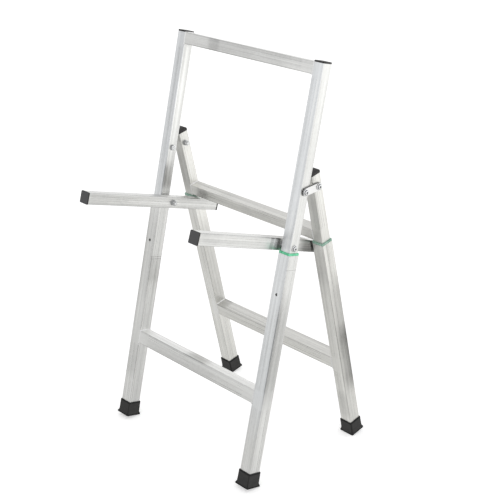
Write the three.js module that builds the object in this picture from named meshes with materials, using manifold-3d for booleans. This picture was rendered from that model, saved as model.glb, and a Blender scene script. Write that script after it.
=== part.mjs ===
import * as THREE from 'three';
import { mergeVertices } from 'three/addons/utils/BufferGeometryUtils.js';
import Module from 'manifold-3d';

// Folding sawhorse of square aluminium tube: a tall front frame that leans back, a shorter
// rear frame that leans forward, two link plates that join them, and two swinging arms.
// Millimetres. X is across the horse, -Y is the front, +Z is up, Z = 0 is the floor.

// ---- driving dimensions ----
const TUBE = 30;            // outside of the upper tubes, the arms and the upper cross tubes
const OUTER_TUBE = 36;      // outside of the lower tubes and of the stretchers
const WALL = 2;             // tube wall
const WIDTH = 520;          // outside of the upper tubes, both frames
const FRONT_LEAN = 13.05;   // degrees back from vertical
const REAR_LEAN = 13.23;    // degrees forward from vertical
const FOOT_SPREAD = 398.2;  // between the floor points of the two frames
const FRONT_TUBE_TOP = 1078.7;
const REAR_TUBE_TOP = 809.4;
const UPPER_TUBE_END = 482; // where an upper tube ends inside its lower tube
const LOWER_TUBE_TOP = 615.7;
const TUBE_BOTTOM = 11;   // floor point to the cut end of a lower tube, along the tube
const CROSSBAR_AT = 1063.7; // centre heights along the uprights
const FRONT_STRETCHER_AT = 240.6;
const REAR_CROSSBAR_AT = 638.6;
const REAR_STRETCHER_AT = 238.1;
const ARM_BOLT_AT = 630.5;
const RIGHT_ARM_RAISE = 2.4; // the right arm bolt sits a little higher than the left one
const FRONT_LINK_AT = 773.4;
const REAR_LINK_AT = 778;
const PIN_AT = 513.7;
const LEFT_ARM_TILT = 16.1; // degrees up from level, front end high
const RIGHT_ARM_TILT = 18;
const ARM_AHEAD = 282;      // bolt to front cut end
const ARM_BEHIND = 160.4;   // bolt to rear cut end
const ARM_GAP = 7;          // between upper tube and arm
const CENTRE_Y = 141.54;    // floor point of the front frame to the middle of the whole

const BOLT_R = 3.96;
const BORE_R = 4.04;
const HEAD_R = 8.75;
const PIN_R = 3.6;
const GAP = 0.3;            // between pieces that bear on each other
const PLATE_T = 4;
const PLATE_R = 10;
const WASHER_T = 1.4;
const WASHER_R = 8;
const COLLAR_H = 5.3;       // rim of the plastic collar at the mouth of a lower tube
const COLLAR_DEPTH = 20;    // its sleeve between the two tubes
const CAP_T = 4.2;          // flat end cap of the front frame and of the arms
const CAP_HALF = 15.2;      // clear of the top crossbar
const ARM_CAP_HALF = 15.6;  // a little proud of the arm
const FOOT_H = 39;
const FOOT_HALF = 20.4;
const LIP_HALF = 23.6;

const HALF = TUBE / 2;
const OUTER_HALF = OUTER_TUBE / 2;
const OUT = WIDTH / 2;
const POST_X = OUT - HALF;
const BAR_HALF = OUT - TUBE - GAP;
const STRETCHER_HALF = POST_X - OUTER_HALF - GAP;
const ARM_X = OUT - TUBE - ARM_GAP - HALF;
const rad = (deg) => (deg * Math.PI) / 180;

// ---- solid helpers ----
const wasm = await Module();
wasm.setup();

function toSolid(geometry) {
  const g = geometry.clone();
  g.deleteAttribute('normal');
  g.deleteAttribute('uv');
  const m = mergeVertices(g, 1e-4);
  const mesh = new wasm.Mesh({
    numProp: 3,
    vertProperties: new Float32Array(m.attributes.position.array),
    triVerts: new Uint32Array(m.index.array),
  });
  mesh.merge();
  return new wasm.Manifold(mesh);
}

function toGeometry(solid) {
  const mesh = solid.getMesh();
  const g = new THREE.BufferGeometry();
  g.setAttribute('position', new THREE.BufferAttribute(new Float32Array(mesh.vertProperties), 3));
  g.setIndex(new THREE.BufferAttribute(new Uint32Array(mesh.triVerts), 1));
  return g;
}

function cut(geometry, tools) {
  let solid = toSolid(geometry);
  for (const t of tools) solid = solid.subtract(toSolid(t));
  return toGeometry(solid);
}

function join(list) {
  let solid = toSolid(list[0]);
  for (const g of list.slice(1)) solid = solid.add(toSolid(g));
  return toGeometry(solid);
}

function squareOutline(half, radius, steps = 4) {
  const pts = [];
  const c = half - radius;
  const corners = [[c, c, 0], [-c, c, 90], [-c, -c, 180], [c, -c, 270]];
  for (const [x, y, start] of corners) {
    for (let i = 0; i <= steps; i += 1) {
      const a = rad(start + (90 * i) / steps);
      pts.push(new THREE.Vector2(x + radius * Math.cos(a), y + radius * Math.sin(a)));
    }
  }
  return pts;
}

function squareBar(half, radius, from, to) {
  const shape = new THREE.Shape(squareOutline(half, radius));
  const g = new THREE.ExtrudeGeometry(shape, { depth: to - from, bevelEnabled: false });
  return g.translate(0, 0, from);
}

function squareTube(half, from, to) {
  const shape = new THREE.Shape(squareOutline(half, 2.2));
  shape.holes.push(new THREE.Path(squareOutline(half - WALL, 0.8, 2).reverse()));
  const g = new THREE.ExtrudeGeometry(shape, { depth: to - from, bevelEnabled: false });
  return g.translate(0, 0, from);
}

function rodX(radius, x0, x1, y, z, sides = 28) {
  const g = new THREE.CylinderGeometry(radius, radius, Math.abs(x1 - x0), sides);
  return g.rotateZ(Math.PI / 2).translate((x0 + x1) / 2, y, z);
}

function loft(rings) {
  const n = rings[0].length;
  const pos = rings.flat(2);
  const idx = [];
  for (let k = 0; k + 1 < rings.length; k += 1) {
    for (let i = 0; i < n; i += 1) {
      const a = k * n + i;
      const b = k * n + ((i + 1) % n);
      idx.push(a, b, b + n, a, b + n, a + n);
    }
  }
  const top = (rings.length - 1) * n;
  for (let i = 1; i + 1 < n; i += 1) {
    idx.push(0, i + 1, i);
    idx.push(top, top + i, top + i + 1);
  }
  const g = new THREE.BufferGeometry();
  g.setAttribute('position', new THREE.BufferAttribute(new Float32Array(pos), 3));
  g.setIndex(idx);
  return g;
}

// lathe profile of [radius, x] pairs turned about the X axis through (y, z)
function turnedX(profile, side, y, z, sides = 28) {
  const pts = profile.map(([r, x]) => new THREE.Vector2(r, x));
  const g = new THREE.LatheGeometry(pts, sides);
  g.rotateZ(-Math.PI / 2);
  if (side < 0) g.rotateY(Math.PI);
  return g.translate(0, y, z);
}

// ---- placing ----
const frontPlace = new THREE.Matrix4()
  .makeTranslation(0, -CENTRE_Y, 0)
  .multiply(new THREE.Matrix4().makeRotationX(-rad(FRONT_LEAN)));
const rearPlace = new THREE.Matrix4()
  .makeTranslation(0, FOOT_SPREAD - CENTRE_Y, 0)
  .multiply(new THREE.Matrix4().makeRotationX(rad(REAR_LEAN)));

function armPlace(tilt, at) {
  const p = new THREE.Vector3(0, 0, at).applyMatrix4(frontPlace);
  return new THREE.Matrix4()
    .makeTranslation(p.x, p.y, p.z)
    .multiply(new THREE.Matrix4().makeRotationX(rad(90 - tilt)));
}

// ---- materials ----
const aluminium = () =>
  new THREE.MeshStandardMaterial({ color: 0xd3d3d0, metalness: 0.9, roughness: 0.4 });
const zinc = () =>
  new THREE.MeshStandardMaterial({ color: 0xc4c6c8, metalness: 1, roughness: 0.3 });
const blackPlastic = () =>
  new THREE.MeshStandardMaterial({ color: 0x3c3c3c, metalness: 0, roughness: 0.6 });
const blackRubber = () =>
  new THREE.MeshStandardMaterial({ color: 0x303030, metalness: 0, roughness: 0.85 });
const greenPlastic = () =>
  new THREE.MeshStandardMaterial({ color: 0x6fe0a6, metalness: 0, roughness: 0.45 });
const greyGreenPlastic = () =>
  new THREE.MeshStandardMaterial({ color: 0x7f9c8b, metalness: 0, roughness: 0.45 });

const group = new THREE.Group();
group.name = 'folding_sawhorse';

function put(name, geometry, material, place) {
  if (place) geometry.applyMatrix4(place);
  const g = geometry.index ? geometry.toNonIndexed() : geometry;
  g.computeVertexNormals();
  const mesh = new THREE.Mesh(g, material);
  mesh.name = name;
  group.add(mesh);
}

// ---- tubes; each upright is an upper tube that stands inside a wider lower tube ----
function pinHole(x) {
  const hole = new THREE.CylinderGeometry(PIN_R + 0.15, PIN_R + 0.15, 8, 24);
  return hole.translate(x, -15.5, PIN_AT);
}

function upperTube(side, top, boltHeights, pinned) {
  const x = side * POST_X;
  const tools = boltHeights.map((s) => rodX(BORE_R, x - 20, x + 20, 0, s));
  if (pinned) tools.push(pinHole(x));
  return cut(squareTube(HALF, UPPER_TUBE_END, top).translate(x, 0, 0), tools);
}

function lowerTube(side, pinned) {
  const x = side * POST_X;
  const tube = squareTube(OUTER_HALF, TUBE_BOTTOM, LOWER_TUBE_TOP).translate(x, 0, 0);
  return cut(tube, pinned ? [pinHole(x)] : []);
}

function crossTube(half, reach, at) {
  return squareTube(half, -reach, reach).rotateY(Math.PI / 2).translate(0, 0, at);
}

function armTube(side) {
  const x = side * ARM_X;
  const tube = squareTube(HALF, -ARM_BEHIND, ARM_AHEAD).translate(x, 0, 0);
  return cut(tube, [rodX(BORE_R, x - 20, x + 20, 0, 0)]);
}

// pin that holds the upper tube in the lower one, sunk a little in the front face
function pin(side) {
  const profile = [
    [0, -16.9], [2.2, -16.7], [3.2, -16.2], [PIN_R, -15.6], [PIN_R, -11.6], [0, -11.6],
  ];
  const pts = profile.map(([r, y]) => new THREE.Vector2(r, y));
  return new THREE.LatheGeometry(pts, 24).translate(side * POST_X, 0, PIN_AT);
}

// ---- plastic end caps: a plate with a hollow plug inside the tube ----
function rectRing(hx, front, rear, radius, z) {
  const cx = hx - radius;
  const corners = [[cx, rear - radius, 0], [-cx, rear - radius, 90],
    [-cx, radius - front, 180], [cx, radius - front, 270]];
  const pts = [];
  for (const [x, y, start] of corners) {
    for (let i = 0; i <= 4; i += 1) {
      const a = rad(start + (90 * i) / 4);
      pts.push([x + radius * Math.cos(a), y + radius * Math.sin(a), z]);
    }
  }
  return pts;
}

function ring(half, radius, z) {
  return rectRing(half, half, half, radius, z);
}

function plugged(plate, x, end, dir) {
  const plug = squareBar(HALF - WALL - 0.4, 1, -14, GAP + 0.6);
  const well = squareBar(HALF - WALL - 2.4, 1, -15, -0.5);
  const g = cut(join([plate, plug]), [well]);
  if (dir < 0) g.rotateX(Math.PI);
  return g.translate(x, 0, end);
}

function endCap(x, end, dir, half) {
  const plate = loft([
    ring(half - 0.3, 2.3, GAP),
    ring(half, 2.5, GAP + 0.3),
    ring(half, 2.5, CAP_T - 0.7),
    ring(half - 0.25, 2.4, CAP_T - 0.2),
    ring(half - 0.8, 2.2, CAP_T),
    ring(half - 6, 2, CAP_T + 0.25),
  ]);
  return plugged(plate, x, end, dir);
}

// the rear caps are taller; their front is chamfered, where they meet the front frame
function rearCap(x, end) {
  const plate = loft([
    rectRing(14.9, 14.9, 14.9, 2.2, GAP),
    rectRing(15.3, 15.3, 15.3, 2.4, GAP + 0.4),
    rectRing(15.3, 15.2, 15.3, 2.4, 1.2),
    rectRing(15.3, 14, 15.3, 2.4, 3.6),
    rectRing(15.3, 13, 15.3, 2.6, 5.8),
    rectRing(14.6, 12, 14.4, 2.8, 7.3),
    rectRing(13.2, 10.8, 12.9, 3, 8.4),
    rectRing(10.5, 8.5, 10.2, 3, 9.1),
    rectRing(5, 4, 5, 2, 9.5),
  ]);
  return plugged(plate, x, end, 1);
}

// ---- rubber feet: a straight socket with a flared lip; the sole is square to the tube ----
function foot(side, leanDeg) {
  const sole = (LIP_HALF - 0.6) * Math.tan(rad(leanDeg));
  const profile = [
    [LIP_HALF - 0.6, 3.4, 0],
    [LIP_HALF, 3.6, 0.6],
    [LIP_HALF, 3.6, 2.6],
    [LIP_HALF - 0.9, 3.4, 4.4],
    [FOOT_HALF + 0.9, 3.2, 6.6],
    [FOOT_HALF + 0.3, 3, 9.4],
    [FOOT_HALF + 0.1, 3, 20],
    [FOOT_HALF, 3, FOOT_H - 0.7],
    [FOOT_HALF - 0.5, 2.8, FOOT_H],
  ];
  const rings = profile.map(([half, radius, s]) => ring(half, radius, sole + s));
  const pocket = squareBar(OUTER_HALF + GAP, 2.5, TUBE_BOTTOM - GAP, FOOT_H + 20);
  return cut(loft(rings), [pocket]).translate(side * POST_X, 0, 0);
}

// ---- plastic collar: a rim on the mouth of the lower tube and a thin sleeve below it ----
function collar(side) {
  const from = LOWER_TUBE_TOP + 0.2;
  const shape = new THREE.Shape(squareOutline(OUTER_HALF, 2.8));
  shape.holes.push(new THREE.Path(squareOutline(HALF + 0.1, 2.3).reverse()));
  const rim = new THREE.ExtrudeGeometry(shape, {
    depth: COLLAR_H - 1,
    bevelEnabled: true,
    bevelThickness: 0.5,
    bevelSize: 0.4,
    bevelOffset: -0.4,
    bevelSegments: 2,
  });
  rim.translate(0, 0, from + 0.5);
  const wall = new THREE.Shape(squareOutline(HALF + 0.9, 3.1));
  wall.holes.push(new THREE.Path(squareOutline(HALF + 0.1, 2.3).reverse()));
  const sleeve = new THREE.ExtrudeGeometry(wall, {
    depth: COLLAR_DEPTH + 2,
    bevelEnabled: false,
  });
  sleeve.translate(0, 0, from - COLLAR_DEPTH);
  return join([rim, sleeve]).translate(side * POST_X, 0, 0);
}

// ---- fasteners; o is the distance outward from the outer face of the upright ----
function bolt(side, seat, end, at) {
  const b = OUT + seat;
  const e = OUT + end;
  const head = [
    [0, e], [BOLT_R - 0.7, e], [BOLT_R, e + 0.8], [BOLT_R, b],
    [HEAD_R - 0.3, b], [HEAD_R, b + 0.3], [HEAD_R, b + 1.0], [HEAD_R - 0.4, b + 1.3],
    [6.9, b + 1.5], [6.4, b + 2.9], [5.1, b + 4.0], [3.9, b + 4.4], [0, b + 4.4],
  ];
  const socket = new THREE.CylinderGeometry(2.9, 2.9, 5.2, 6);
  socket.rotateZ(Math.PI / 2).translate(side * (b + 4.4), 0, at);
  return cut(turnedX(head, side, 0, at), [socket]);
}

function washer(side, from, thick, radius, at) {
  const x0 = side * (OUT + from);
  const x1 = side * (OUT + from - thick);
  const disc = rodX(radius, x0, x1, 0, at, 28);
  return cut(disc, [rodX(BORE_R, x0 + side * 2, x1 - side * 2, 0, at)]);
}

function nut(side, from, thick, collar, at) {
  const x0 = OUT + from;
  const x1 = x0 - thick;
  const hex = new THREE.CylinderGeometry(7.5, 7.5, thick, 6);
  hex.rotateZ(Math.PI / 2).translate(side * ((x0 + x1) / 2), 0, at);
  const turned = [
    [0, x1], [6.4, x1], [7.6, x1 + 0.7], [7.6, x0 - 0.5], [7.0, x0], [0, x0],
  ];
  let solid = toSolid(hex).intersect(toSolid(turnedX(turned, side, 0, at, 24)));
  if (collar > 0) {
    const ringX = [
      [0, x1 - collar], [5.0, x1 - collar], [5.8, x1 - collar + 0.8], [6.1, x1 + 0.2], [0, x1 + 0.2],
    ];
    solid = solid.add(toSolid(turnedX(ringX, side, 0, at, 28)));
  }
  const bore = rodX(BORE_R, side * (x0 + 2), side * (x1 - collar - 2), 0, at);
  return toGeometry(solid.subtract(toSolid(bore)));
}

// ---- link plate between the two frames ----
function linkPlate(side) {
  const f = new THREE.Vector3(0, 0, FRONT_LINK_AT).applyMatrix4(frontPlace);
  const r = new THREE.Vector3(0, 0, REAR_LINK_AT).applyMatrix4(rearPlace);
  const length = f.distanceTo(r);
  const angle = Math.atan2(r.z - f.z, r.y - f.y);
  const shape = new THREE.Shape();
  shape.absarc(0, 0, PLATE_R, Math.PI / 2, (3 * Math.PI) / 2, false);
  shape.absarc(length, 0, PLATE_R, -Math.PI / 2, Math.PI / 2, false);
  for (const c of [0, length]) {
    const hole = new THREE.Path();
    hole.absarc(c, 0, BORE_R, 0, 2 * Math.PI, true);
    shape.holes.push(hole);
  }
  const g = new THREE.ExtrudeGeometry(shape, {
    depth: PLATE_T - 0.8,
    bevelEnabled: true,
    bevelThickness: 0.4,
    bevelSize: 0.4,
    bevelOffset: -0.4,
    bevelSegments: 1,
    curveSegments: 18,
  });
  g.translate(0, 0, -(PLATE_T - 0.8) / 2);
  const toWorld = new THREE.Matrix4().makeBasis(
    new THREE.Vector3(0, Math.cos(angle), Math.sin(angle)),
    new THREE.Vector3(0, -Math.sin(angle), Math.cos(angle)),
    new THREE.Vector3(1, 0, 0),
  );
  g.applyMatrix4(toWorld);
  return g.translate(side * (OUT + GAP + PLATE_T / 2), f.y, f.z);
}

// ---- assembly ----
for (const [tag, side] of [['left', -1], ['right', 1]]) {
  const x = side * POST_X;
  const armAt = ARM_BOLT_AT + (side > 0 ? RIGHT_ARM_RAISE : 0);

  put(`front_upper_tube_${tag}`, upperTube(side, FRONT_TUBE_TOP, [armAt, FRONT_LINK_AT], true),
    aluminium(), frontPlace);
  put(`front_lower_tube_${tag}`, lowerTube(side, true), aluminium(), frontPlace);
  put(`front_pin_${tag}`, pin(side), zinc(), frontPlace);
  put(`front_collar_${tag}`, collar(side), greenPlastic(), frontPlace);
  put(`front_cap_${tag}`, endCap(x, FRONT_TUBE_TOP, 1, CAP_HALF), blackPlastic(), frontPlace);
  put(`front_foot_${tag}`, foot(side, FRONT_LEAN), blackRubber(), frontPlace);

  put(`rear_upper_tube_${tag}`, upperTube(side, REAR_TUBE_TOP, [REAR_LINK_AT], false),
    aluminium(), rearPlace);
  put(`rear_lower_tube_${tag}`, lowerTube(side, false), aluminium(), rearPlace);
  put(`rear_collar_${tag}`, collar(side), greyGreenPlastic(), rearPlace);
  put(`rear_cap_${tag}`, rearCap(x, REAR_TUBE_TOP), blackPlastic(), rearPlace);
  put(`rear_foot_${tag}`, foot(side, REAR_LEAN), blackRubber(), rearPlace);

  put(`link_plate_${tag}`, linkPlate(side), aluminium(), null);

  const seat = GAP + PLATE_T + GAP;
  const inner = -TUBE - 0.2;
  put(`front_link_bolt_${tag}`, bolt(side, seat, -36.3, FRONT_LINK_AT), zinc(), frontPlace);
  put(`front_link_washer_${tag}`, washer(side, inner, WASHER_T, WASHER_R, FRONT_LINK_AT),
    zinc(), frontPlace);
  put(`front_link_nut_${tag}`, nut(side, inner - WASHER_T - 0.2, 4, 0, FRONT_LINK_AT),
    zinc(), frontPlace);
  put(`rear_link_bolt_${tag}`, bolt(side, seat, -40.6, REAR_LINK_AT), zinc(), rearPlace);
  put(`rear_link_washer_${tag}`, washer(side, inner, WASHER_T, WASHER_R, REAR_LINK_AT),
    zinc(), rearPlace);
  put(`rear_link_nut_${tag}`, nut(side, inner - WASHER_T - 0.2, 6, 2, REAR_LINK_AT),
    zinc(), rearPlace);

  const arm = armPlace(side > 0 ? RIGHT_ARM_TILT : LEFT_ARM_TILT, armAt);
  put(`arm_${tag}`, armTube(side), aluminium(), arm);
  const armX = side * ARM_X;
  put(`arm_front_cap_${tag}`, endCap(armX, ARM_AHEAD, 1, ARM_CAP_HALF), blackPlastic(), arm);
  put(`arm_rear_cap_${tag}`, endCap(armX, -ARM_BEHIND, -1, ARM_CAP_HALF), blackPlastic(), arm);

  const farSide = -TUBE - ARM_GAP - TUBE - GAP;
  put(`arm_bolt_${tag}`, bolt(side, GAP, farSide - 10, armAt), zinc(), frontPlace);
  put(`arm_spacer_${tag}`, washer(side, -TUBE - GAP, ARM_GAP - 2 * GAP, 8.5, armAt),
    zinc(), frontPlace);
  put(`arm_washer_${tag}`, washer(side, farSide, WASHER_T, WASHER_R, armAt),
    zinc(), frontPlace);
  put(`arm_nut_${tag}`, nut(side, farSide - WASHER_T - 0.2, 6, 2, armAt),
    zinc(), frontPlace);
}

put('front_top_crossbar', crossTube(HALF, BAR_HALF, CROSSBAR_AT), aluminium(), frontPlace);
put('front_stretcher', crossTube(OUTER_HALF, STRETCHER_HALF, FRONT_STRETCHER_AT),
  aluminium(), frontPlace);
put('rear_upper_crossbar', crossTube(HALF, BAR_HALF, REAR_CROSSBAR_AT), aluminium(), rearPlace);
put('rear_stretcher', crossTube(OUTER_HALF, STRETCHER_HALF, REAR_STRETCHER_AT),
  aluminium(), rearPlace);

export default group;
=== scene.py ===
"""Looks for the folding sawhorse: square aluminium tube, zinc fasteners, black caps and feet, green collars."""

import itertools
import math
import random
from typing import NamedTuple

import bmesh
import bpy
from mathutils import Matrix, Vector


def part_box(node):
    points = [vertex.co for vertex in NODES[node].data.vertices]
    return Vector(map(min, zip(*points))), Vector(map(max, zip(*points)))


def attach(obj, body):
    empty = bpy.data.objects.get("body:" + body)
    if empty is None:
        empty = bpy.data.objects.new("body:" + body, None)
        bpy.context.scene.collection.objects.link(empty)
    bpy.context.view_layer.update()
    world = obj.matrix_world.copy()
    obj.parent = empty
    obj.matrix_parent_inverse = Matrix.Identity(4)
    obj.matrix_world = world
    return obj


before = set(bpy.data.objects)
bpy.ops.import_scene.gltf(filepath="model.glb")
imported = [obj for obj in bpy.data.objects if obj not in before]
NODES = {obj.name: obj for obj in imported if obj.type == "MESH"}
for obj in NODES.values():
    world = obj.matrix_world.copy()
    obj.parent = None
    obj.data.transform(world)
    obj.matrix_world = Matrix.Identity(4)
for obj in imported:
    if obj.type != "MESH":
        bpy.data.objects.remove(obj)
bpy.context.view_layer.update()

# ---- facts of the part, in metres and radians ----
HALF = 0.015                # half the outside of the upper tubes, arms and upper cross tubes
OUTER_HALF = 0.018          # half the outside of the lower tubes and stretchers
CORNER = 0.0022             # corner radius of the tubes
FOOT_HALF = 0.0204          # half the outside of the rubber feet
UPRIGHT_X = 0.245           # from the middle of the horse to the middle of an upright
WELD_X = 0.2454             # a weld's seam lies half a tube nearer the middle of the horse than this
FRONT_LEAN = math.radians(13.05)
REAR_LEAN = math.radians(-13.23)
ARM_TILTS = {"left": math.radians(16.1), "right": math.radians(18.0)}
X_AXIS = Vector((1, 0, 0))
QUARTER = math.radians(90)


def leaning(angle):
    """The direction up an upright that leans by angle towards +Y."""
    return Vector((0, math.sin(angle), math.cos(angle)))


def behind(angle):
    """The direction square to such an upright, towards +Y."""
    return Vector((0, math.cos(angle), -math.sin(angle)))


def forward(tilt):
    """The direction along an arm, towards its front end."""
    return Vector((0, -math.cos(tilt), math.sin(tilt)))


def centre(node):
    low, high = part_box(node)
    return (low + high) / 2


def half_of(bar):
    """Half the outside of a cross tube."""
    return OUTER_HALF if "stretcher" in bar else HALF


FRONT_UP, REAR_UP = leaning(FRONT_LEAN), leaning(REAR_LEAN)
FRONT_OUT, REAR_OUT = behind(FRONT_LEAN), behind(REAR_LEAN)
FRONT_BARS = ("front_top_crossbar", "front_stretcher")
REAR_BARS = ("rear_upper_crossbar", "rear_stretcher")
FRAMES = (("front", FRONT_UP, FRONT_OUT, FRONT_BARS), ("rear", REAR_UP, REAR_OUT, REAR_BARS))

# ---- colours and amounts of the finishes ----
NOISE_LOW, NOISE_HIGH = 0.3, 0.7            # nearly all of a noise lies between these
PLAIN, COOL, WARM = (1.0, 1.002, 0.988), (0.980, 1.0, 1.018), (1.005, 1.0, 0.966)
WHITE = (1.0, 1.0, 1.0)
ZINC_TINT = (0.985, 0.995, 1.01)
DUST = (0.30, 0.29, 0.27)
END_FACE_TONE = (0.072, 0.072, 0.076)              # lighter outer face of an arm's end cap
FLOW_LINE = (0.056, 0.055, 0.052)           # faint level lines in the rubber
FOOT_EDGE_SHADE = (0.007, 0.007, 0.007)              # painted shade on the corners, top rim and sole edge of a foot
HEAD_FLANK_SHADE, NUT_FLANK_SHADE, CROWN_HIGHLIGHT = 0.26, 0.55, 1.12     # painted shade on flanks and sockets, painted highlight on crowns
LIT_PIN, SHADED_PIN = 0.8, 0.02             # painted light in the middle of a pin: painted lit on the right pin, painted shade on the left one
MINT = (0.08, 0.52, 0.26), (0.22, 0.80, 0.48)       # darkest and lightest of the front collars
SAGE = (0.17, 0.32, 0.25), (0.42, 0.62, 0.52)       # the same of the rear collars

# Aluminium: how often each mark repeats per metre, across the tube and along it.
FINE_LINES, STREAKS, BANDS = (1500, 5), (330, 2.2), (95, 0.9)
CLOUDS, HAIRS, MOTTLES = (26, 9), (120, 16), (210, 120)
SPECKS = 420
# How much each mark changes the brightness.
BASE_TONE = 0.82
FINE_TONE, STREAK_TONE, BAND_TONE, MOTTLE_TONE, CLOUD_TONE = 0.26, 0.20, 0.16, 0.16, 0.22
GROOVE_TONE, SCRATCH_TONE, SPECK_TONE, WELDED_TONE = 0.05, 0.10, 0.10, 0.03
CALMED = 0.6                # share of the drawn marks that welding takes away
# The roughness, and how much each mark changes it.
BASE_ROUGH, STREAK_ROUGH, CLOUD_ROUGH, WELDED_ROUGH, CORNER_ROUGH = 0.34, 0.16, 0.22, 0.10, 0.05
# Where the marks lie, in metres from the tube's outside or along it.
FACE_FADE = 0.003, 0.0015   # a mark on one face begins and is complete at these depths
CORNER_FADE = 0.0026, 0.0010
GROOVE_INSET = 0.0042       # the die groove on each face
GROOVE_FADE = 0.0002, 0.0008
ZONE_FADE = 0.005, 0.004    # a dull zone fades out from this far inside its reach to this far outside
BAR_ZONES = 0.034, 0.038    # reach of the dull zones at the left and right end of a cross tube
UPRIGHT_ZONE = 0.024        # the same where a cross tube meets an upright
WOBBLE = 0.012              # how far the ends of zones and patches stray
TINT_FADE = 0.15            # a front face turns from its warm tint to its cool one over this length


class StainAndReflection(NamedTuple):
    """A darker or lighter stretch on one face of a tube; the table holds real stains and scribed lines, and
    painted reflections and painted shade.
    """

    face: int               # +1 and -1 are the faces along u and against it, +2 and -2 those of v
    place: float            # its middle, in metres along the tube from the tube's middle
    reach: float            # half its length
    depth: float            # how much darker it is; lighter if negative
    lean: float = 0.0       # 0 spreads it evenly, towards +1 or -1 it keeps to one edge of the face


RIGHT, FRONT = 1, -2                        # faces of an upright; an arm's right face is also +1
TOP, BAR_FRONT = 2, -1                      # faces of a cross tube; an arm's top face is also +2
SCRIBED = 0.0007                            # reach of a thin line scribed across a face
CORE, LINE_CORE, FRINGE = 0.45, 0.6, 1.2    # shares of the reach where a patch is full and where it is gone
RAGGED = 1.5                                # how much more than a dull zone its ends stray
STREAKED = 0.75, 0.7                        # middle strength of a long patch, and how far its streaks vary it
LEANING = 0.25, 1.35                        # strength at the far and near edge of a leaning patch
# Darker and lighter stretches on single faces: partly real stains and scribed lines, partly painted reflections
# and painted shade for the light each face catches.
STAINS_AND_REFLECTIONS = {
    "front_top_crossbar": (
        StainAndReflection(BAR_FRONT, -0.118, 0.022, 0.16),
        StainAndReflection(BAR_FRONT, -0.06, 0.09, 0.09),
        StainAndReflection(BAR_FRONT, 0.20, 0.07, -0.12),
    ),
    "front_stretcher": (StainAndReflection(TOP, 0.0, 0.045, 0.24), StainAndReflection(BAR_FRONT, -0.05, 0.17, 0.14)),
    "rear_upper_crossbar": (
        StainAndReflection(BAR_FRONT, -0.185, 0.026, 0.22),
        StainAndReflection(TOP, -0.16, 0.06, -0.08),
        StainAndReflection(TOP, 0.03, 0.12, -0.05),
    ),
    "rear_stretcher": (StainAndReflection(TOP, -0.212, 0.024, 0.32),),
    "front_upper_tube_left": (StainAndReflection(RIGHT, 0.08, 0.12, -0.13), StainAndReflection(RIGHT, -0.088, 0.040, 0.34, -1)),
    "front_upper_tube_right": (StainAndReflection(RIGHT, 0.20, 0.25, 0.08),),
    "front_lower_tube_right": (StainAndReflection(RIGHT, 0.055, 0.15, 0.40, -0.45), StainAndReflection(RIGHT, 0.266, SCRIBED, 0.25)),
    "front_lower_tube_left": (
        StainAndReflection(RIGHT, 0.12, 0.04, 0.16),
        StainAndReflection(RIGHT, 0.151, SCRIBED, 0.3),
        StainAndReflection(RIGHT, 0.157, SCRIBED, 0.3),
        StainAndReflection(FRONT, 0.16, 0.14, 0.15),
        StainAndReflection(FRONT, -0.23, 0.05, -0.20),
    ),
    "rear_lower_tube_right": (
        StainAndReflection(RIGHT, -0.06, 0.11, 0.62, 0.8),
        StainAndReflection(RIGHT, 0.10, 0.11, 0.32, 0.8),
        StainAndReflection(FRONT, -0.21, 0.05, 0.18),
        StainAndReflection(FRONT, 0.24, 0.06, 0.14),
    ),
    "rear_lower_tube_left": (StainAndReflection(RIGHT, 0.08, 0.16, 0.28), StainAndReflection(FRONT, -0.05, 0.13, -0.09)),
    "rear_upper_tube_right": (StainAndReflection(FRONT, 0.055, 0.08, 0.14),),
    "rear_upper_tube_left": (StainAndReflection(FRONT, 0.055, 0.08, 0.28), StainAndReflection(RIGHT, 0.055, 0.08, -0.12)),
    "arm_left": (StainAndReflection(RIGHT, -0.13, 0.06, 0.08), StainAndReflection(RIGHT, 0.19, 0.04, 0.09)),
    "arm_right": (
        StainAndReflection(RIGHT, -0.17, 0.06, 0.52),
        StainAndReflection(RIGHT, -0.038, 0.010, 0.42),
        StainAndReflection(RIGHT, -0.020, 0.007, 0.30),
        StainAndReflection(TOP, -0.03, 0.05, 0.20),
        StainAndReflection(RIGHT, 0.19, 0.04, 0.08),
        StainAndReflection(TOP, 0.08, 0.16, 0.07),
    ),
}
FINISH_AND_LIGHT_SHADES = {                                  # brightness of single tubes, 1 for the others; partly each tube's own finish, partly painted light and shade for how much light each tube catches
    "front_top_crossbar": 0.93,
    "front_stretcher": 1.04,
    "rear_upper_crossbar": 0.93,
    "front_upper_tube_left": 0.94,
    "front_lower_tube_left": 0.97,
    "front_upper_tube_right": 1.09,
    "front_lower_tube_right": 1.05,
    "rear_lower_tube_left": 1.12,
    "arm_left": 0.94,
}
FRONT_TINTS = {                             # a cool front face above this place along the tube
    "front_upper_tube_left": -1.0,
    "front_upper_tube_right": -1.0,
    "front_lower_tube_right": -0.20,
}
# painted dark reflections along the rounded corners of the tubes
CORNER_REFLECTION, UPRIGHT_CORNER_REFLECTION = -0.16, -0.12
CORNER_REFLECTIONS = {"front_lower_tube_right": -0.14, "rear_lower_tube_right": -0.14}


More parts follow.
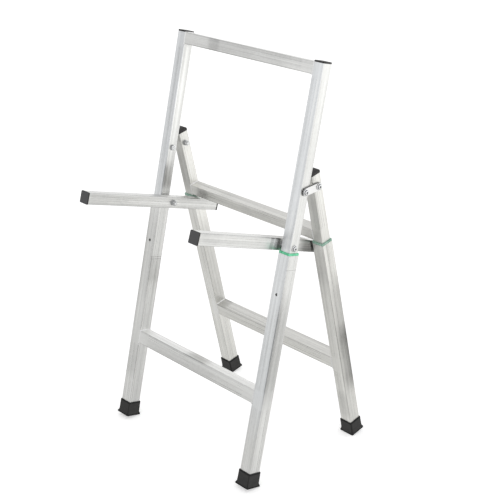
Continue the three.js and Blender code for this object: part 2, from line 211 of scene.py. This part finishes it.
# ---- shading graphs ----
class Graph:
    """A node tree and short calls that add nodes to it."""

    def __init__(self, tree):
        self.tree = tree

    def add(self, kind, **settings):
        node = self.tree.nodes.new(kind)
        for key, value in settings.items():
            setattr(node, key, value)
        return node

    def feed(self, socket, value):
        if isinstance(value, bpy.types.NodeSocket):
            self.tree.links.new(value, socket)
        else:
            socket.default_value = value

    def math(self, op, a, b=0.0, c=0.0):
        node = self.add("ShaderNodeMath", operation=op)
        for socket, value in zip(node.inputs, (a, b, c)):
            self.feed(socket, value)
        return node.outputs[0]

    def plus(self, value, mask, amount):
        """The value with a share of the mask added."""
        return self.math("ADD", value, self.math("MULTIPLY", mask, amount))

    def minus(self, value, mask, amount):
        """The value with a share of the mask taken off."""
        return self.math("SUBTRACT", value, self.math("MULTIPLY", mask, amount))

    def about(self, noise, amount):
        """A noise as a change up and down, of about half the amount each way."""
        return self.math("MULTIPLY", self.math("SUBTRACT", noise, 0.5), amount)

    def distance(self, value, place):
        return self.math("ABSOLUTE", self.math("SUBTRACT", value, place))

    def vector(self, op, a, b=(0, 0, 0)):
        node = self.add("ShaderNodeVectorMath", operation=op)
        self.feed(node.inputs[0], a)
        self.feed(node.inputs[1], b)
        return node.outputs["Value" if op == "DOT_PRODUCT" else "Vector"]

    def remap(self, value, a, b, c=0.0, d=1.0, smooth=False):
        node = self.add("ShaderNodeMapRange")
        node.interpolation_type = "SMOOTHSTEP" if smooth else "LINEAR"
        for socket, v in zip(node.inputs, (value, a, b, c, d)):
            self.feed(socket, v)
        return node.outputs[0]

    def spread(self, noise, low, high):
        """A noise stretched out between two values."""
        return self.remap(noise, NOISE_LOW, NOISE_HIGH, low, high)

    def noise(self, vec, scale, detail=2.0, rough=0.5, seed=0.0):
        node = self.add("ShaderNodeTexNoise", noise_dimensions="4D")
        settings = {"Vector": vec, "W": seed, "Scale": scale, "Detail": detail, "Roughness": rough}
        for key, v in settings.items():
            self.feed(node.inputs[key], v)
        return node.outputs["Fac"]

    def mix(self, fac, a, b):
        node = self.add("ShaderNodeMix", data_type="RGBA")
        self.feed(node.inputs["Factor"], fac)
        for socket, v in zip([s for s in node.inputs if s.type == "RGBA"], (a, b)):
            self.feed(socket, v if isinstance(v, bpy.types.NodeSocket) else (*v, 1.0))
        return [s for s in node.outputs if s.type == "RGBA"][0]

    def grey(self, value, tint=WHITE):
        """A colour from a brightness, times a tint."""
        node = self.add("ShaderNodeCombineColor")
        for socket, t in zip(node.inputs, tint):
            self.feed(socket, self.math("MULTIPLY", value, t))
        return node.outputs[0]


class Surface(Graph):
    """A material with a Principled shader."""

    def __init__(self, name):
        self.mat = bpy.data.materials.new(name)
        self.mat.use_nodes = True
        super().__init__(self.mat.node_tree)
        self.tree.nodes.clear()
        self.shader = self.add("ShaderNodeBsdfPrincipled")
        self.output = self.add("ShaderNodeOutputMaterial")
        self.tree.links.new(self.shader.outputs[0], self.output.inputs[0])
        self.point = self.add("ShaderNodeTexCoord").outputs["Object"]

    def local(self, at, u, v, w):
        """Coordinates in a piece's own frame: metres from its centre along three directions."""
        rel = self.vector("SUBTRACT", self.point, tuple(at))
        node = self.add("ShaderNodeCombineXYZ")
        parts = [self.vector("DOT_PRODUCT", rel, tuple(d)) for d in (u, v, w)]
        for socket, part in zip(node.inputs, parts):
            self.feed(socket, part)
        return node.outputs[0], parts

    def facing(self, direction, low, high):
        """1 where the surface faces along the direction (either way), 0 where it lies along it."""
        normal = self.add("ShaderNodeTexCoord").outputs["Normal"]
        along = self.vector("DOT_PRODUCT", normal, tuple(direction))
        return self.remap(self.math("ABSOLUTE", along), low, high)

    def bump(self, height, depth, strength=1.0):
        node = self.add("ShaderNodeBump")
        self.feed(node.inputs["Height"], height)
        node.inputs["Distance"].default_value = depth
        node.inputs["Strength"].default_value = strength
        self.tree.links.new(node.outputs[0], self.shader.inputs["Normal"])

    def shade(self, **values):
        """Set or link the shader's sockets, and give back the material."""
        for key, value in values.items():
            self.feed(self.shader.inputs[key.replace("_", " ")], value)
        return self.mat


# ---- aluminium tube ----
def on_face(g, off, half):
    """1 on the face that lies half away along a coordinate, 0 elsewhere."""
    begin, full = FACE_FADE
    return g.remap(off, half - begin, half - full)


def stain_and_reflection_patch(g, tone, parts, half, wobble, streak, patch):
    """Darken the tone along a patch; the patches are stains, painted reflections and painted shade. Long
    patches have ragged ends and follow the streaks.
    """
    lx, ly, lz = parts
    off, other = (lx, ly) if abs(patch.face) == 1 else (ly, lx)
    face = on_face(g, g.math("MULTIPLY", off, math.copysign(1.0, patch.face)), half)
    if patch.reach <= SCRIBED:
        away = g.distance(lz, patch.place)
        line = g.remap(away, patch.reach * LINE_CORE, patch.reach * FRINGE, 1.0, 0.0, True)
        return g.minus(tone, g.math("MULTIPLY", line, face), patch.depth)
    away = g.distance(g.plus(lz, wobble, RAGGED), patch.place)
    near = g.remap(away, patch.reach * CORE, patch.reach * FRINGE, 1.0, 0.0, True)
    mottled = g.math("ADD", STREAKED[0], g.about(streak, STREAKED[1]))
    mask = g.math("MULTIPLY", g.math("MULTIPLY", near, face), mottled)
    if patch.lean:
        weight = g.remap(g.math("MULTIPLY", other, patch.lean), -half, half, *LEANING)
        mask = g.math("MULTIPLY", mask, weight)
    return g.minus(tone, mask, patch.depth)


def welded_zones(g, lz, wobble, zones):
    """1 in the dull zones (place along the tube, half length) round the welds, 0 elsewhere."""
    inside, outside = ZONE_FADE
    dull = 0.0
    for where, reach in zones:
        away = g.distance(g.math("ADD", lz, wobble), where)
        near = g.remap(away, reach - inside, reach + outside, 1.0, 0.0, True)
        dull = near if dull == 0.0 else g.math("MAXIMUM", dull, near)
    return dull


def aluminium(node, at, u, v, w, seed, zones, half, corner_reflection):
    """Drawn tube: die lines along w, cloudy wear, a painted dark reflection line on the corners, dull zones
    where it is welded.
    """
    g = Surface(f"alu_{node}")
    local, (lx, ly, lz) = g.local(at, u, v, w)

    def marks(scales, detail, rough, offset):
        across, along = scales
        return g.noise(g.vector("MULTIPLY", local, (across, across, along)), 1.0, detail, rough, seed + offset)

    fine = marks(FINE_LINES, 2.0, 0.6, 0)
    streak = g.remap(marks(STREAKS, 2.0, 0.55, 3), 0.34, 0.66)
    band = g.remap(marks(BANDS, 1.0, 0.5, 7), NOISE_LOW, NOISE_HIGH)
    cloud = marks(CLOUDS, 3.0, 0.6, 11)
    speck = g.noise(local, SPECKS, 2.0, 0.7, seed + 13)
    hair = g.distance(marks(HAIRS, 1.0, 0.5, 17), 0.5)
    mottle = marks(MOTTLES, 2.0, 0.6, 19)
    scratch = g.math("MULTIPLY", g.remap(hair, 0.0, 0.006, 1.0, 0.0), g.remap(cloud, 0.5, 0.62))

    inset = g.math("MINIMUM", g.math("ABSOLUTE", lx), g.math("ABSOLUTE", ly))
    corner = g.remap(inset, half - CORNER_FADE[0], half - CORNER_FADE[1], 0.0, 1.0, True)
    groove = g.remap(g.distance(inset, half - GROOVE_INSET), *GROOVE_FADE, 1.0, 0.0)
    wobble = g.about(cloud, WOBBLE)
    dull = welded_zones(g, lz, wobble, zones)
    calm = g.minus(1.0, dull, CALMED)

    def drawn(mark, amount):
        """A mark left by drawing the tube, weaker where welding has dulled the metal."""
        return g.math("MULTIPLY", g.about(mark, amount), calm)

    tone = g.math("ADD", drawn(streak, STREAK_TONE), drawn(band, BAND_TONE))
    tone = g.math("ADD", tone, drawn(fine, FINE_TONE))
    tone = g.minus(tone, g.math("MULTIPLY", groove, calm), GROOVE_TONE)
    tone = g.math("ADD", tone, g.about(cloud, CLOUD_TONE))
    tone = g.math("ADD", tone, drawn(mottle, MOTTLE_TONE))
    # tube brightness: partly its own finish, partly painted light and shade
    tone = g.math("ADD", tone, BASE_TONE * FINISH_AND_LIGHT_SHADES.get(node, 1.0))
    # painted dark reflection along the corners
    tone = g.plus(tone, corner, corner_reflection)
    tone = g.plus(tone, dull, WELDED_TONE)
    tone = g.minus(tone, scratch, SCRATCH_TONE)
    tone = g.math("SUBTRACT", tone, g.remap(speck, 0.66, 0.78, 0.0, SPECK_TONE))
    # stains, painted reflections and painted shade on single faces
    for patch in STAINS_AND_REFLECTIONS.get(node, ()):
        tone = stain_and_reflection_patch(g, tone, (lx, ly, lz), half, wobble, streak, patch)

    rough = g.math("ADD", BASE_ROUGH, drawn(streak, STREAK_ROUGH))
    rough = g.math("ADD", rough, g.about(cloud, CLOUD_ROUGH))
    rough = g.plus(rough, dull, WELDED_ROUGH)
    rough = g.minus(rough, corner, CORNER_ROUGH)

    height = g.math("ADD", g.math("MULTIPLY", fine, 0.5), g.math("MULTIPLY", streak, 0.9))
    g.bump(g.minus(height, scratch, 0.6), depth=0.00012, strength=0.35)

    along = g.add("ShaderNodeVectorTransform", vector_type="VECTOR", convert_from="OBJECT", convert_to="WORLD")
    along.inputs[0].default_value = tuple(w)
    g.shade(Tangent=along.outputs[0], Anisotropic=0.55, Anisotropic_Rotation=0.25)

    warm = cool = WARM if node.startswith("rear") else PLAIN
    low = 0.0
    if node in FRONT_TINTS:
        cool, low = COOL, FRONT_TINTS[node]
    front = on_face(g, g.math("MULTIPLY", ly, -1.0), half)
    front = g.math("MULTIPLY", front, g.remap(lz, low, low + TINT_FADE))
    colour = g.mix(front, g.grey(tone, warm), g.grey(tone, cool))
    return g.shade(Base_Color=colour, Metallic=1.0, Roughness=rough)


# ---- other metals ----
def zinc(name, flank_shade):
    """Zinc plated heads and nuts: painted highlights on the crowns, painted shade on the flanks and in the
    sockets.
    """
    g = Surface(name)
    cloud = g.noise(g.point, 160, 3.0, 0.6)
    grain = g.noise(g.point, 2400, 2.0, 0.6)
    tone = g.math("ADD", g.spread(cloud, 0.66, 0.84), g.about(grain, 0.10))
    # painted highlight on faces that look along the bolt, painted shade on the flanks and socket walls
    lit_crown = g.facing(X_AXIS, 0.55, 0.96)
    tone = g.math("MULTIPLY", tone, g.plus(flank_shade, lit_crown, CROWN_HIGHLIGHT - flank_shade))
    g.bump(grain, 0.00004, 0.4)
    return g.shade(Base_Color=g.grey(tone, ZINC_TINT), Metallic=1.0, Roughness=g.spread(cloud, 0.30, 0.20))


def pin_metal(name, at, bright):
    """A sunk pin end: painted shade round its rim, and a middle of the given painted brightness set a little to
    one side.
    """
    g = Surface(name)
    _, (lx, _, lz) = g.local(at, X_AXIS, FRONT_UP.cross(X_AXIS), FRONT_UP)
    lx = g.math("SUBTRACT", lx, 0.0018)
    r = g.math("SQRT", g.math("ADD", g.math("MULTIPLY", lx, lx), g.math("MULTIPLY", lz, lz)))
    cloud = g.noise(g.point, 500, 3.0, 0.6)
    # painted shade towards the rim, the middle at the given painted brightness
    tone = g.math("ADD", g.remap(r, 0.0013, 0.0020, bright, 0.01), g.spread(cloud, 0.0, 0.02))
    g.bump(cloud, 0.0001, 0.5)
    return g.shade(Base_Color=g.grey(tone), Metallic=0.8, Roughness=0.45)


def plate_metal():
    """Stamped link plate: bright rolled face, faint random rolling marks, much darker edges."""
    g = Surface("link_plate_alu")
    roll = g.noise(g.vector("MULTIPLY", g.point, (300, 60, 700)), 1.0, 2.0, 0.6)
    cloud = g.noise(g.point, 60, 3.0, 0.6)
    tone = g.math("ADD", 0.90, g.about(roll, 0.12))
    tone = g.math("ADD", tone, g.about(cloud, 0.08))
    # the edges, which face away from X, are made much darker than the face
    flat = g.facing(X_AXIS, 0.5, 0.9)
    tone = g.math("MULTIPLY", tone, g.plus(0.10, flat, 0.90))
    g.bump(roll, 0.00006, 0.4)
    return g.shade(Base_Color=g.grey(tone), Metallic=1.0, Roughness=g.spread(roll, 0.30, 0.40))


def weld_metal(name, seam):
    """Bright rippled weld, its brightness partly a painted highlight along the seam, with painted shade along
    its outer toe where it meets the upright; seam is the distance from the middle of the horse.
    """
    g = Surface(name)
    _, (across, _, _) = g.local((0, 0, 0), X_AXIS, (0, 1, 0), (0, 0, 1))
    # painted shade along the outer toe, where the bead meets the upright
    toe_shade = g.remap(g.math("ABSOLUTE", across), seam + 0.0011, seam + 0.0019)
    cloud = g.noise(g.point, 300, 3.0, 0.6)
    pit = g.remap(g.noise(g.point, 900, 2.0, 0.6, 5.0), 0.62, 0.72)
    tone = g.minus(g.spread(cloud, 0.82, 0.98), pit, 0.40)
    tone = g.minus(tone, toe_shade, 0.45)
    g.bump(g.math("SUBTRACT", cloud, pit), 0.0002, 0.5)
    return g.shade(Base_Color=g.grey(tone), Metallic=1.0, Roughness=g.spread(cloud, 0.28, 0.42))


# ---- rubber and plastic ----
class Mould(NamedTuple):
    """A moulded finish."""

    dark: tuple
    light: tuple
    rough: float
    grain: float            # grains per metre
    depth: float            # height of the grain in metres


CAP_LOOK = Mould((0.020, 0.019, 0.019), (0.038, 0.036, 0.035), 0.52, 2600, 0.00006)
FOOT_LOOK = Mould((0.018, 0.018, 0.018), (0.036, 0.036, 0.036), 0.70, 1700, 0.00012)


def foot_rim(g, base, at, out, up):
    """Faint level lines round a foot, and painted shade on its corners, top rim and sole edge."""
    _, (lx, ly, lz) = g.local(at, X_AXIS, out, up)
    inset = g.math("MINIMUM", g.math("ABSOLUTE", lx), g.math("ABSOLUTE", ly))
    corner = g.remap(inset, FOOT_HALF - 0.0032, FOOT_HALF - 0.0014)
    line = g.noise(g.vector("MULTIPLY", g.point, (40, 40, 1100)), 1.0, 2.0, 0.6)
    base = g.mix(g.remap(line, 0.35, 0.75, 0.0, 0.5), base, FLOW_LINE)
    top = g.remap(lz, 0.0155, 0.0170)
    sole = g.remap(lz, -0.0140, -0.0150)
    # painted shade on the corners, top rim and sole edge
    return g.mix(g.math("MAXIMUM", g.math("MAXIMUM", corner, top), sole), base, FOOT_EDGE_SHADE)


def moulded(name, look, end=None, rim=None):
    """Moulded rubber or plastic: fine grain, soft cloudy wear, a little dust.

    end: a direction whose faces are made lighter. rim: (centre, out, up) of a foot.
    """
    g = Surface(name)
    cloud = g.noise(g.point, 90, 4.0, 0.6)
    grain = g.noise(g.point, look.grain, 2.0, 0.65)
    dust = g.remap(g.noise(g.point, 700, 3.0, 0.7, 4.0), 0.62, 0.80)
    base = g.mix(g.remap(cloud, 0.35, 0.7), look.dark, look.light)
    base = g.mix(g.math("MULTIPLY", dust, 0.10), base, DUST)
    if end is not None:
        # the end face is made lighter than the sides
        base = g.mix(g.facing(end, 0.7, 0.95), base, END_FACE_TONE)
    if rim is not None:
        base = foot_rim(g, base, *rim)
    g.bump(g.plus(grain, cloud, 0.4), look.depth, 0.6)
    rough = g.math("ADD", look.rough, g.about(cloud, 0.25))
    return g.shade(Base_Color=base, Roughness=rough, Specular_IOR_Level=0.4)


def collar_plastic(name, dark, light):
    """Soft moulded collar: fine ribs round the tube, light worn tops."""
    g = Surface(name)
    rib = g.noise(g.vector("MULTIPLY", g.point, (60, 60, 1900)), 1.0, 1.0, 0.5)
    cloud = g.noise(g.point, 150, 3.0, 0.6)
    base = g.mix(g.remap(cloud, 0.35, 0.65), dark, light)
    base = g.mix(g.remap(rib, 0.4, 0.7, 0.0, 0.25), base, light)
    g.bump(rib, 0.0002, 0.5)
    return g.shade(Base_Color=base, Roughness=g.spread(rib, 0.55, 0.42), Specular_IOR_Level=0.4)


# ---- even shading of the CAD nodes ----
def smoothing():
    """Node modifier: joins the split corners and keeps only the real edges sharp."""
    group = bpy.data.node_groups.new("joined_edges", "GeometryNodeTree")
    group.interface.new_socket("Geometry", in_out="INPUT", socket_type="NodeSocketGeometry")
    group.interface.new_socket("Geometry", in_out="OUTPUT", socket_type="NodeSocketGeometry")
    add, link = group.nodes.new, group.links.new
    begin, end = add("NodeGroupInput"), add("NodeGroupOutput")
    drop = add("GeometryNodeRemoveAttribute")
    drop.inputs["Name"].default_value = "custom_normal"
    weld = add("GeometryNodeMergeByDistance")
    weld.inputs["Distance"].default_value = 2e-6
    faces = add("GeometryNodeSetShadeSmooth")
    edges = add("GeometryNodeSetShadeSmooth")
    edges.domain = "EDGE"
    edges.inputs["Shade Smooth"].default_value = False
    angle = add("GeometryNodeInputMeshEdgeAngle")
    sharp = add("FunctionNodeCompare")
    sharp.inputs[1].default_value = math.radians(33)
    link(begin.outputs[0], drop.inputs["Geometry"])
    link(drop.outputs[0], weld.inputs["Geometry"])
    link(weld.outputs[0], faces.inputs["Geometry"])
    link(faces.outputs[0], edges.inputs["Geometry"])
    link(angle.outputs["Unsigned Angle"], sharp.inputs[0])
    link(sharp.outputs[0], edges.inputs["Selection"])
    link(edges.outputs[0], end.inputs[0])
    return group


def smooth(obj, group):
    obj.modifiers.new("joined", "NODES").node_group = group
    normals = obj.modifiers.new("even_normals", "WEIGHTED_NORMAL")
    normals.keep_sharp = True
    normals.weight = 50


def wear(node, material):
    """Give a CAD node its material."""
    for slot in NODES[node].material_slots:
        slot.material = material


# ---- weld beads ----
BEAD_RADIUS = 0.0019
BEAD_FAT = 0.0004           # how much thicker it is above and below
BEAD_SUNK = 0.0006          # how far it sinks into the flush faces
BEAD_OFFSET = 0.0004        # how far it sits towards the upright, and how far it wanders from there
BEAD_TURN = 0.0032, 0.003   # where it turns fat, from the tube's outside, and how quickly
RIPPLE_STEP, DRIFT_STEP, WANDER_STEP = 0.36, 0.05, 0.21     # radians a point, of its ripples and their drift
SIDE_STEPS, CORNER_STEPS, RING_STEPS = 64, 6, 10


def tube_outline(half):
    """Points round a tube's section with its rounded corners, from its front face on."""
    flat = half - CORNER
    path = []
    for turn in range(4):
        start = QUARTER * turn
        c, s = math.cos(start), math.sin(start)
        for i in range(SIDE_STEPS):
            t = -flat + 2 * flat * i / SIDE_STEPS
            path.append((c * half - s * t, s * half + c * t))
        for i in range(CORNER_STEPS):
            a = start + QUARTER * i / CORNER_STEPS
            kx = c * flat - s * flat + CORNER * math.cos(a)
            ky = s * flat + c * flat + CORNER * math.sin(a)
            path.append((kx, ky))
    return path


def bead(name, at, lean, side, half, rand, material, body):
    """A rippled weld all round the end of a cross tube, fat above and below, thin on the flush faces."""
    up, ahead = leaning(lean), -behind(lean)
    x = side * (UPRIGHT_X - half)
    mesh = bmesh.new()
    rows = []
    phase = rand.uniform(0, 6.28)
    for k, (py, pz) in enumerate(tube_outline(half)):
        upper = max(0.0, min(1.0, (abs(pz) - half + BEAD_TURN[0]) / BEAD_TURN[1]))
        ripple = abs(math.sin(k * RIPPLE_STEP + phase + 0.25 * math.sin(k * DRIFT_STEP)))
        radius = BEAD_RADIUS + BEAD_FAT * upper
        radius *= 0.84 + 0.16 * ripple + rand.uniform(-0.02, 0.02)
        shift = BEAD_OFFSET * math.sin(k * WANDER_STEP + phase) * upper
        reach = math.hypot(py, pz)
        outward = ahead * (py / reach) + up * (pz / reach)
        sunk = BEAD_SUNK * (1 - upper)
        middle = Vector((x + side * BEAD_OFFSET + shift, 0, 0)) + at + ahead * py + up * pz - outward * sunk
        row = []
        for j in range(RING_STEPS):
            a = 2 * math.pi * j / RING_STEPS
            row.append(mesh.verts.new(middle + outward * radius * math.cos(a) + X_AXIS * radius * math.sin(a)))
        rows.append(row)
    for k, here in enumerate(rows):
        there = rows[(k + 1) % len(rows)]
        for j in range(RING_STEPS):
            n = (j + 1) % RING_STEPS
            mesh.faces.new((here[j], here[n], there[n], there[j]))
    bmesh.ops.recalc_face_normals(mesh, faces=mesh.faces)
    data = bpy.data.meshes.new(name)
    mesh.to_mesh(data)
    mesh.free()
    for polygon in data.polygons:
        polygon.use_smooth = True
    obj = bpy.data.objects.new(name, data)
    bpy.context.scene.collection.objects.link(obj)
    obj.data.materials.append(material)
    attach(obj, body)


# ---- stage, lights and camera ----
AWAY = (0.68, 0.73, 0.0)    # across the floor, from the dimmer side to the brighter one
FLOOR_GLOW = 0.46
WALL_GLOW = (0.93, 0.93, 0.925, 1.0)
BOUNCE_TINT = (1.0, 1.0, 0.985)
CAMERA_AT = (2.01035, -1.79705, 1.64803)
CAMERA_AZIMUTH, CAMERA_ELEVATION = 46.66, 22.42     # degrees, from the front to the right, and up
CAMERA_LENS = 81.209        # mm, on the usual 36 mm wide sensor


def stage_piece(name, corners, faces, material):
    data = bpy.data.meshes.new(name)
    data.from_pydata(corners, [], faces)
    obj = bpy.data.objects.new(name, data)
    bpy.context.scene.collection.objects.link(obj)
    obj.data.materials.append(material)
    return obj


def sheet(name, size, z, material):
    h = size / 2
    corners = [(-h, -h, z), (h, -h, z), (h, h, z), (-h, h, z)]
    return stage_piece(name, corners, [(0, 1, 2, 3)], material)


def only_seen(obj):
    """Keep a stage piece out of light and reflections, which the bounce sheet and the sky give."""
    obj.visible_glossy = obj.visible_diffuse = obj.visible_shadow = False
    obj.visible_transmission = False


def pale_floor():
    g = Surface("floor_paper")
    tone = g.spread(g.noise(g.point, 3.0, 2.0), 0.86, 0.88)
    g.shade(Base_Color=g.grey(tone), Roughness=0.9, Specular_IOR_Level=0.0)
    g.shade(Emission_Color=(*WHITE, 1.0), Emission_Strength=FLOOR_GLOW)
    only_seen(sheet("floor", size=60, z=-0.0002, material=g.mat))


def backdrop():
    """A plain bright wall all round, far away, which only low views reach."""
    steps, radius, low, high = 48, 27.0, -0.5, 25.0
    angles = [2 * math.pi * i / steps for i in range(steps)]
    corners = [(radius * math.cos(a), radius * math.sin(a), z) for z in (low, high) for a in angles]
    faces = [(i, (i + 1) % steps, steps + (i + 1) % steps, steps + i) for i in range(steps)]
    g = Surface("backdrop_paper")
    g.shade(Base_Color=(0.0, 0.0, 0.0, 1.0), Specular_IOR_Level=0.0)
    g.shade(Emission_Color=WALL_GLOW, Emission_Strength=1.0)
    only_seen(stage_piece("backdrop", corners, faces, g.mat))


def bounce_sheet():
    """Light that comes up off the floor: weaker near the horse, weakest in front and to the left of it."""
    g = Surface("bounce_light")
    across = g.vector("DOT_PRODUCT", g.point, AWAY)
    near = g.remap(across, -0.5, 1.3, 0.60, 0.87, True)
    distant = g.remap(across, -1.5, 2.5, 0.78, 1.20, True)
    radius = g.math("SQRT", g.vector("DOT_PRODUCT", g.point, g.point))
    toward = g.math("MAXIMUM", g.math("MULTIPLY", across, -1.0), 0.0)
    far = g.remap(g.plus(radius, toward, 0.4), 1.3, 4.5, 0.0, 1.0, True)
    level = g.math("ADD", near, g.math("MULTIPLY", far, g.math("SUBTRACT", distant, near)))
    glow = g.add("ShaderNodeEmission")
    g.feed(glow.inputs["Color"], g.grey(level, BOUNCE_TINT))
    g.tree.links.new(glow.outputs[0], g.output.inputs[0])
    piece = sheet("bounce", size=30, z=-0.004, material=g.mat)
    piece.visible_camera = piece.visible_shadow = False


def sky():
    """Soft studio surround: bright all round, softer above."""
    world = bpy.data.worlds.new("studio")
    bpy.context.scene.world = world
    world.use_nodes = True
    g = Graph(world.node_tree)
    background = g.tree.nodes["Background"]
    toward = g.add("ShaderNodeTexCoord").outputs["Generated"]
    across = g.vector("DOT_PRODUCT", toward, AWAY)
    height = g.vector("DOT_PRODUCT", toward, (0.0, 0.0, 1.0))
    level = g.add("ShaderNodeMix")
    g.feed(level.inputs[0], g.remap(height, 0.1, 0.95, 0.0, 1.0, True))
    g.feed(level.inputs[2], g.remap(across, -1.0, 0.9, 0.80, 1.22, True))
    g.feed(level.inputs[3], 0.70)
    g.feed(background.inputs["Color"], g.grey(level.outputs[0]))
    background.inputs["Strength"].default_value = 1.0


def camera():
    azimuth, elevation = math.radians(CAMERA_AZIMUTH), math.radians(CAMERA_ELEVATION)
    level = math.cos(elevation)
    back = Vector((math.sin(azimuth) * level, -math.cos(azimuth) * level, math.sin(elevation)))
    data = bpy.data.cameras.new("camera")
    data.lens = CAMERA_LENS
    data.sensor_width = 36
    cam = bpy.data.objects.new("camera", data)
    cam.location = CAMERA_AT
    cam.rotation_mode = "QUATERNION"
    cam.rotation_quaternion = (-back).to_track_quat("-Z", "Y")
    bpy.context.scene.collection.objects.link(cam)
    bpy.context.scene.camera = cam


# ---- assembly ----
def finish_tubes():
    """Every tube gets its own aluminium, with marks of its own."""
    seeds = itertools.count(1.0, 20)
    for _, up, out, bars in FRAMES:
        for bar in bars:
            half = half_of(bar)
            end = UPRIGHT_X - half
            zones = ((-end, BAR_ZONES[0]), (end, BAR_ZONES[1]))
            wear(bar, aluminium(bar, centre(bar), out, up, X_AXIS, next(seeds), zones, half, CORNER_REFLECTION))

    for side, tilt in ARM_TILTS.items():
        for part, up, out, bars in FRAMES:
            for level, half, bar in zip(("upper", "lower"), (HALF, OUTER_HALF), bars):
                tube = f"{part}_{level}_tube_{side}"
                at = centre(tube)
                zones = (((centre(bar) - at).dot(up), UPRIGHT_ZONE),)
                corner_reflection = CORNER_REFLECTIONS.get(tube, UPRIGHT_CORNER_REFLECTION)
                wear(tube, aluminium(tube, at, X_AXIS, out, up, next(seeds), zones, half, corner_reflection))
        arm, over = f"arm_{side}", leaning(tilt)
        metal = aluminium(arm, centre(arm), X_AXIS, over, forward(tilt), next(seeds), (), HALF, CORNER_REFLECTION)
        wear(arm, metal)


def finish_small_parts():
    heads, nuts, plates = zinc("zinc_head", HEAD_FLANK_SHADE), zinc("zinc_nut", NUT_FLANK_SHADE), plate_metal()
    caps = moulded("cap_plastic", CAP_LOOK)
    mint, sage = collar_plastic("collar_mint", *MINT), collar_plastic("collar_sage", *SAGE)
    for name in NODES:
        side = name.rsplit("_", 1)[-1]
        if "_pin_" in name:
            # the right pin is painted lit, the left one painted in shade
            wear(name, pin_metal(f"{name}_end", centre(name), LIT_PIN if side == "right" else SHADED_PIN))
        elif "bolt" in name:
            wear(name, heads)
        elif "nut" in name or "washer" in name or "spacer" in name:
            wear(name, nuts)
        elif name.startswith("arm") and "cap" in name:
            wear(name, moulded(f"{name}_plastic", CAP_LOOK, end=forward(ARM_TILTS[side])))
        elif "cap" in name:
            wear(name, caps)
        elif "foot" in name:
            out, up = (FRONT_OUT, FRONT_UP) if name.startswith("front") else (REAR_OUT, REAR_UP)
            wear(name, moulded(f"{name}_rubber", FOOT_LOOK, rim=(centre(name), out, up)))
        elif "plate" in name:
            wear(name, plates)
        elif "collar" in name:
            wear(name, mint if name.startswith("front") else sage)


def weld_joints():
    """A bead at both ends of every cross tube."""
    metals = {half: weld_metal(f"weld_alu_{round(half * 2000)}", WELD_X - half) for half in (HALF, OUTER_HALF)}
    rand = random.Random(7)
    for bars, lean, body in ((FRONT_BARS, FRONT_LEAN, "front_frame"), (REAR_BARS, REAR_LEAN, "rear_frame")):
        for bar in bars:
            at = centre(bar)
            at.x = 0
            half = half_of(bar)
            for tag, side in (("left", -1), ("right", 1)):
                bead(f"weld_{bar}_{tag}", at, lean, side, half, rand, metals[half], body)


camera()
sky()
pale_floor()
backdrop()
bounce_sheet()
bpy.context.scene.view_settings.view_transform = "Standard"

joined_edges = smoothing()
for cad_node in NODES.values():
    smooth(cad_node, joined_edges)
finish_tubes()
finish_small_parts()
weld_joints()
